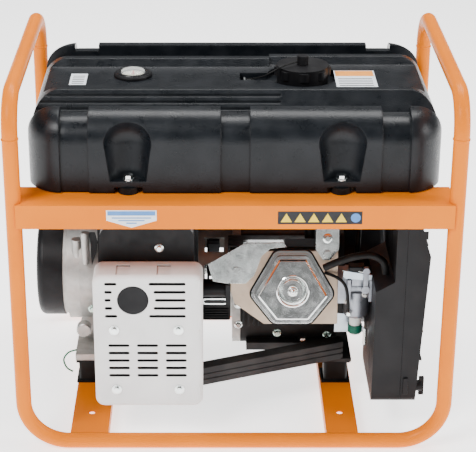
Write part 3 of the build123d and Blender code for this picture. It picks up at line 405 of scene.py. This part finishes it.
def turned(name, profile, at, axis, material, facets=ROUND, body=ROOT):
    """A closed profile of (radius, height) turned about an axis."""
    side = axis.orthogonal().normalized()
    other = axis.cross(side)
    bm = bmesh.new()
    rings = []
    for r, h in profile:
        ring = []
        for i in range(facets):
            angle = 2 * math.pi * i / facets
            around = side * math.cos(angle) + other * math.sin(angle)
            ring.append(bm.verts.new(at + (around * r + axis * h) / 1000))
        rings.append(ring)
    for a, b in zip(rings, rings[1:] + rings[:1]):
        for i in range(facets):
            k = (i + 1) % facets
            bm.faces.new((a[i], a[k], b[k], b[i]))
    bmesh.ops.remove_doubles(bm, verts=bm.verts, dist=1e-6)
    bmesh.ops.dissolve_degenerate(bm, edges=bm.edges, dist=1e-7)
    return piece(name, bm, material, body)


def bolt(name, at, axis, r=5, material=None, body=ROOT):
    """A flanged hexagon head."""
    material = material or ZINC
    turned(name + "_flange", [(0, 0), (r * 1.45, 0), (r * 1.45, 1), (r, 2), (0, 2)], at, axis,
           material, body=body)
    turned(name + "_head", [(0, 1.8), (r, 1.8), (r, 5.4), (r * 0.85, 6.2), (0, 6.2)], at, axis,
           material, 6, body)


def tube_mesh(name, points, r, material, rings=48, facets=14, body=ROOT):
    """A round cord as a mesh, along the smooth curve that has these control points."""
    curve = bpy.data.curves.new(name + "_route", "CURVE")
    curve.dimensions = "3D"
    spline = curve.splines.new("NURBS")
    spline.points.add(len(points) - 1)
    for control, point in zip(spline.points, points):
        control.co = (*mm(*point), 1)
    spline.order_u = 3
    spline.use_endpoint_u = True
    spline.resolution_u = max(4, rings // max(1, len(points) - 1))
    curve.bevel_depth = r / 1000
    curve.bevel_resolution = facets // 4
    curve.use_fill_caps = True
    holder = bpy.data.objects.new(name + "_route", curve)
    bpy.context.scene.collection.objects.link(holder)
    bpy.context.view_layer.update()
    bm = bmesh.new()
    bm.from_mesh(holder.to_mesh())
    holder.to_mesh_clear()
    bpy.data.objects.remove(holder)
    return piece(name, bm, material, body)


def rail_labels():
    """Two printed labels on the front rail, with plain shapes in place of any words."""
    face = mm(0, FRONT_FACE, 0)
    above = mm(0, FRONT_FACE - FILM, 0)
    blue = (LABEL_BLUE, "blue_socket")
    left, middle, right = -197, -158.5, -120
    top, shoulder, tip = 428, 411, 399
    arrow = [(left, top), (left, shoulder), (middle, tip), (right, shoulder), (right, top)]
    prism("label_arrow", arrow, face, X, Z, FILM, LABEL_WHITE, "nylon_white")
    header = oblong(left + 2, top - 8.5, right - 2, top - 1.5)
    prism("label_arrow_header", header, above, X, Z, FILM, *blue)
    for i, half in enumerate((30, 20, 8)):
        z = 414.5 - i * 4.3
        line = oblong(middle - half, z, middle + half, z + 1.6)
        prism(f"label_arrow_line_{i}", line, above, X, Z, FILM, *blue)
    strip_left, strip_low, strip_right, strip_top = 65, 405, 194, 426
    strip = oblong(strip_left, strip_low, strip_right, strip_top)
    prism("label_strip", strip, face, X, Z, FILM, LABEL_BLACK, "black_moulding")
    half, low, peak = 8.5, strip_low + 3.5, strip_top - 3
    for i in range(5):
        x = strip_left + 13 + i * 21
        triangle = [(x - half, low), (x + half, low), (x, peak)]
        prism(f"label_triangle_{i}", triangle, above, X, Z, FILM, LABEL_YELLOW, "orange_paint")
    disc = circle(strip_right - 10, (strip_low + strip_top) / 2, 7.5)
    prism("label_disc", disc, above, X, Z, FILM, *blue)


def deck_labels():
    """Labels on the tank's deck."""
    deck = mm(0, 0, DECK_Z)
    above = mm(0, 0, DECK_Z + FILM)
    black = (LABEL_BLACK, "black_moulding")
    left, low, right, high = -265, -52, -238, 4
    prism("label_deck_white", oblong(left, low, right, high), deck, X, Y, FILM, LABEL_WHITE, "nylon_white")
    for i in range(5):
        y = low + 6 + i * 9
        prism(f"label_deck_line_{i}", oblong(left + 4, y, right - 4, y + 2.5), above, X, Y, FILM, *black)
    left, low, right, high = 164, -62, 230, 20
    prism("label_deck_pale", oblong(left, low, right, high), deck, X, Y, FILM, LABEL_WHITE, "nylon_white")
    band = oblong(left + 2, high - 28, right - 2, high - 2)
    prism("label_deck_band", band, above, X, Y, FILM, LABEL_ORANGE, "orange_paint")
    for i in range(4):
        y = low + 5 + i * 11
        prism(f"label_deck_row_{i}", oblong(left + 5, y, right - 6, y + 3), above, X, Y, FILM, *black)


GAUGE_AT = mm(-164, -4, 0)
DIAL_LOW, DIAL_HIGH = DECK_Z + 2.05, DECK_Z + 2.5


def gauge_trim():
    """Dial with its ticks, and the bezel ring, of the fuel gauge."""
    dial = [(1.6, DIAL_LOW), (17.8, DIAL_LOW), (17.8, DIAL_HIGH), (1.6, DIAL_HIGH)]
    turned("gauge_dial", dial, GAUGE_AT, Z, CREAM)
    for i in range(7):
        angle = math.radians(30 + i * 20)
        out = Vector((math.cos(angle), math.sin(angle), 0))
        at = GAUGE_AT + mm(0, 0, DIAL_HIGH)
        tick = oblong(11.5, -0.4, 16, 0.4)
        prism(f"gauge_tick_{i}", tick, at, out, Z.cross(out), FILM, LABEL_BLACK, "black_moulding")
    turned("gauge_ring", [(21.2, 567.6), (21.6, 569.2), (24, 569.6), (26.4, 568.9), (27.2, 567.6)],
           GAUGE_AT, Z, GLOSS_BLACK)


COVER_CORNERS = ((28, 63), (70, -10), (31, -59), (-31, -59), (-70, -10), (-28, 63))
SHADE_PLATE_GROW = 1.045         # the painted shade plate's outline over the cover's


def engine_trim():
    """The valve cover's black plate of painted shade, dish rim, washer and nut, and small parts beside it.
    """
    # A thin black plate a little larger than the cover, under its flange: painted shade for the shadow line
    # between cover and head.
    outline = rounded([(x * SHADE_PLATE_GROW, z * SHADE_PLATE_GROW) for x, z in COVER_CORNERS], 16)
    under = on_head(0, 0, HEAD_TOP - 1.2)
    prism("cover_shade_plate", outline, under, X, AXIS_UP, 1.8, RUBBER, "black_rubber")
    top = on_head(0, 0, HEAD_TOP)
    rim = [(23.4, 25.4), (25.2, 26.8), (27.4, 25.8), (27.4, 25.4)]
    washer = [(0, 21), (9, 21), (9, 22.4), (0, 22.4)]
    nut = [(0, 22), (6.2, 22), (6.2, 27), (0, 27)]
    dome = [(5.4, 27), (5.2, 29), (4, 31), (2, 32), (0, 32.2)]
    turned("cover_dish_rim", rim, top, AXIS_OUT, CHROME)
    turned("cover_washer", washer, top, AXIS_OUT, ZINC)
    turned("cover_nut", nut, top, AXIS_OUT, CHROME, 6)
    turned("cover_nut_dome", dome, top, AXIS_OUT, CHROME)
    bolt("lifting_tab_bolt", on_head(57, 84, HEAD_TOP + 5.2), AXIS_OUT, 5.5)
    tube_mesh("carb_spring_rod", [(178, -126, 268), (196, -128, 270), (214, -130, 266)], 1.1, ZINC,
              18)
    turned("bowl_screw", [(0, 0), (4.6, 0), (4.6, 3), (3.4, 4.2), (0, 4.2)], mm(190, -127, 190), -Y,
           ZINC, 6)
    route = [(150, -122, 262), (172, -138, 262), (188, -142, 240), (188, -140, 200)]
    tube_mesh("vent_tube", route, 2.6, RUBBER, 40)


def crankcase_trim():
    """Ribbed casting beside the cylinder, its bolts, and the slotted block next to the muffler."""
    front = -74
    slot_z = 186
    pad("slot_block", (-52, front, 150), (-4, -44, 196), ENAMEL, "black_engine_paint", 2.5)
    for i in range(5):
        z = 152 + i * 4.6
        low, high = (-49, front - 3, z), (-7, front + 2, z + 2.4)
        pad(f"slot_block_rib_{i}", low, high, ENAMEL, "black_engine_paint", 0.6)
    ring = []
    for i in range(24):
        a = i * math.pi / 12
        middle = -46 if math.pi / 2 < a < 3 * math.pi / 2 else -14
        ring.append((middle + 8 * math.cos(a), slot_z + 6 * math.sin(a)))
    rim_thick = 1.2
    prism("slot_rim", ring, mm(0, front, 0), X, Z, rim_thick, ZINC, "zinc_plate", 0.3)
    # The slot's opening is a flat gloss black plate on the rim: painted shade for the hollow inside it.
    inner = [(x * 0.8 - 6, slot_z + (z - slot_z) * 0.55) for x, z in ring]
    prism("slot_painted_shade", inner, mm(0, front - rim_thick, 0), X, Z, 0.3, GLOSS_BLACK, "black_moulding")
    for i in range(4):
        x = 18 + i * 9
        pad(f"case_rib_{i}", (x, -22, 112), (x + 3.4, -12, 158), GREY_ENAMEL, "engine_enamel", 1.2)
    for name, x, z, finish in (("case_bolt_a", 10, 160, ZINC), ("case_bolt_b", 10, 122, ZINC),
                               ("case_nut_a", 77, 106, GREEN_ZINC),
                               ("case_nut_b", 163, 102, GREEN_ZINC)):
        bolt(name, mm(x, -34, z), -Y, 5, finish)


def carburettor_trim():
    """Brackets, linkage and screws round the carburettor, and the solenoid's boot."""
    turned("solenoid_boot", [(0, 141.4), (7, 141.4), (11.9, 145.6), (12, 159.2), (0, 159.2)],
           mm(204, -104, 0), Z, GREEN_NYLON)
    plate = [(178, 255), (226, 252), (227, 262), (180, 270)]
    prism("carb_bracket", plate, mm(0, -129, 0), X, Z, 2, BLUE_ZINC, "zinc_plate", 0.5)
    pad("carb_linkage", (188, -130, 266), (214, -112, 276), ENAMEL, "black_engine_paint", 2)
    bolt("carb_screw_a", mm(216, -128.5, 226), -Y, 3.6, CASTING)
    bolt("carb_screw_b", mm(186, -128.5, 214), -Y, 3.6, CASTING)
    plate = [(171, 134), (222, 134), (222, 142), (196, 168), (171, 170)]
    prism("low_bracket", plate, mm(0, -84, 0), X, Z, 1.6, BLUE_ZINC, "zinc_plate", 0.4)
    tube_mesh("low_bracket_stud", [(223, -84, 140), (223, -86, 124), (223, -88, 112)], 3, ZINC,
              16)


def alternator_trim():
    """The vertical boss, lug and bolts on the end bracket, and the muffler's top bolt."""
    turned("bracket_boss", [(0, 228), (5, 232), (7, 250), (7.5, 288), (6, 290), (0, 290)],
           mm(-250, -22, 0), Z, CASTING)
    # A flat black lens on the casting beside the boss: painted shade for the pocket there.
    lens = [(-240, 228), (-232, 252), (-229, 272), (-233, 290), (-243, 290)]
    prism("bracket_pocket_painted_shade", lens, mm(0, -21, 0), X, Z, 0.6, ENAMEL, "black_engine_paint")
    turned("bracket_lug", [(0, -2), (13, -2), (13, 12), (11, 14), (0, 14)], mm(-256, -26, 112), -Y,
           CASTING)
    bolt("bracket_bolt", mm(-240, -30, 150), -Y, 5.5, GREEN_ZINC)
    bolt("muffler_top_bolt", mm(-120, -160, 324), -Y, 5)


def shield_trim():
    """Small pressed ribs down the heat shield's right edge."""
    for i, z in enumerate((286, 196, 96)):
        pad(f"shield_rib_{i}", (-57, -217.2, z - 9), (-54.4, -213, z + 9), SILVER, "silver_paint", 0.9)


def cover_trim():
    """Plain badge, pressed ribs and clip of the air cleaner."""
    body = "air_cleaner_cover"
    low, high = (c * 1000 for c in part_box("air_cleaner_cover"))
    look = (BLACK, "black_moulding")
    pad("cleaner_badge", (292, low.y - 0.3, 352), (306, low.y + 0.2, 366), *look, 0.2, body)
    for i, z in enumerate((322, 270, 218, 166, 114)):
        pad(f"cleaner_rib_{i}", (298, -150, z), (high.x - 1.2, -70, z + 3), *look, 0.8, body)
    pad("cleaner_clip", (278, low.y - 3, 74), (286, low.y + 0.2, 104), *look, 0.8, body)


METER_X, METER_Z = -240, 352        # where the voltmeter's needle turns; the switch is below it
SOCKET_Z = 312


def panel_trim():
    """Voltmeter dial, switch ring, socket rims and plain marks on the rear panel."""
    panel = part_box("control_panel")[1].y * 1000
    switch_face = panel + 4
    turned("switch_ring", [(12.4, 0), (16.4, 0), (15.6, 1.2), (13, 1.2)], mm(METER_X, switch_face, 270), Y,
           ZINC)
    dial_face = panel + 6
    prism("meter_dial", oblong(217, 351, 263, 383), mm(0, dial_face, 0), -X, Z, FILM, CREAM, "nylon_white")
    for i in range(9):
        angle = math.radians(50 + i * 10)
        out = Vector((math.cos(angle), 0, math.sin(angle)))
        at = mm(METER_X, dial_face + FILM, METER_Z)
        tick = oblong(21, -0.4, 26, 0.4)
        prism(f"meter_tick_{i}", tick, at, out, out.cross(Y), FILM, LABEL_BLACK, "black_moulding")
    lean = Vector((-0.34, 0, 0.94))
    needle = [(0, -0.5), (24, -0.3), (24, 0.3), (0, 0.5)]
    prism("meter_needle", needle, mm(METER_X, dial_face + 2 * FILM, METER_Z + 1), lean, lean.cross(Y), FILM,
          RED, "needle_red")
    for body, x in (("socket_lid_left", -150), ("socket_lid_right", -62)):
        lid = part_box(body)[1].y * 1000
        turned(body + "_rim", [(17, 0), (21, 0), (20.4, 1.2), (17.6, 1.2)], mm(x, lid, SOCKET_Z), Y, BLUE,
               body=body)
    for i, z in enumerate((246, 258)):
        line = oblong(70, z, 142, z + 2.4)
        prism(f"panel_line_{i}", line, mm(0, panel, 0), -X, Z, FILM, LABEL_WHITE, "nylon_white")


def weld_beads():
    """Weld beads where the hoops meet the carrying bars."""
    for side in (-1, 1):
        for end in (-1, 1):
            at = mm(side * FRAME_X, end * FRAME_Y, WELD_Z)
            bead = [(12.4, -2), (13.4, -1), (13.6, 0), (13.4, 1), (12.4, 2)]
            turned(f"weld_{side}_{end}".replace("-1", "a"), bead, at, Z, ORANGE)


def moving_cords():
    """The starter rope and the cap's tether, laid as fixed meshes in place of the model's own, which are
    hidden.
    """
    rope_x, rope_z, grip_y = 276, CRANK_Z + PULLEY_R, 158.9
    rope = [(rope_x, CRANK_Y, rope_z), (rope_x, 120, rope_z), (rope_x, grip_y, rope_z)]
    made = tube_mesh("starter_rope_laid", rope, 2, WHITE_NYLON, 60, body=None)
    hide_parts("starter_rope")
    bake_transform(made)
    tether = [(102, -8, 586), (88, -22, 588), (66, -34, 581), (44, -30, 566), (20.6, -8, 557)]
    made = tube_mesh("cap_tether_laid", tether, 1.3, RUBBER, 72, body=None)
    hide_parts("cap_tether")
    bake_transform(made)


rail_labels()
deck_labels()
gauge_trim()
engine_trim()
crankcase_trim()
carburettor_trim()
alternator_trim()
shield_trim()
cover_trim()
panel_trim()
weld_beads()
moving_cords()


# ---- Floor, light and camera ------------------------------------------------------------
FLOOR_HALF = 16.0           # metres; only views from very low see past its edge
FLOOR_GLOW = 1.9
SURROUND = 0.22


def studio():
    """Wide pale floor, three soft lights and a dim surround."""
    floor_material = printed("floor", (0.95, 0.95, 0.95), (0.94, 0.94, 0.94), 0.8)
    surface = floor_material.node_tree.nodes["Principled BSDF"]
    surface.inputs["Emission Color"].default_value = (1, 1, 1, 1)
    surface.inputs["Emission Strength"].default_value = FLOOR_GLOW
    bm = bmesh.new()
    bmesh.ops.create_grid(bm, x_segments=2, y_segments=2, size=FLOOR_HALF)
    mesh = bpy.data.meshes.new("floor")
    bm.to_mesh(mesh)
    bm.free()
    for polygon in mesh.polygons:
        polygon.use_smooth = True
    mesh.materials.append(floor_material)
    floor = bpy.data.objects.new("floor", mesh)
    bpy.context.scene.collection.objects.link(floor)

    world = bpy.data.worlds.new("surround")
    bpy.context.scene.world = world
    world.use_nodes = True
    world.node_tree.nodes["Background"].inputs["Color"].default_value = (1, 1, 1, 1)
    world.node_tree.nodes["Background"].inputs["Strength"].default_value = SURROUND

    target = Vector((0, 0, 0.3))
    for name, place, size, power in (
        ("key", (-1.6, -1.8, 2.6), (1.4, 1.0), 110),
        ("top", (0.3, 0.9, 2.8), (2.4, 1.2), 105),
        ("side", (2.4, -0.9, 1.4), (0.8, 1.6), 45),
    ):
        lamp = bpy.data.lights.new(name, "AREA")
        lamp.shape = "RECTANGLE"
        lamp.size, lamp.size_y = size
        lamp.energy = power
        holder = bpy.data.objects.new(name, lamp)
        holder.location = place
        holder.rotation_euler = (target - Vector(place)).to_track_quat("-Z", "Y").to_euler()
        bpy.context.scene.collection.objects.link(holder)


SENSOR, LENS, SHIFT_X = 36, 120.25, 0.0567      # millimetres, millimetres, share of the width
VIEWPOINT = (-0.037, -2.476, 1.381)             # metres
LOOK_DOWN = 23.74                               # degrees below the horizon


def camera():
    """The viewpoint: in front of the muffler side, a little left of the middle and looking down."""
    data = bpy.data.cameras.new("camera")
    data.sensor_width = SENSOR
    data.lens = LENS
    data.shift_x = SHIFT_X
    holder = bpy.data.objects.new("camera", data)
    holder.location = VIEWPOINT
    holder.rotation_euler = (math.radians(90 - LOOK_DOWN), 0, 0)
    bpy.context.scene.collection.objects.link(holder)
    bpy.context.scene.camera = holder


studio()
camera()
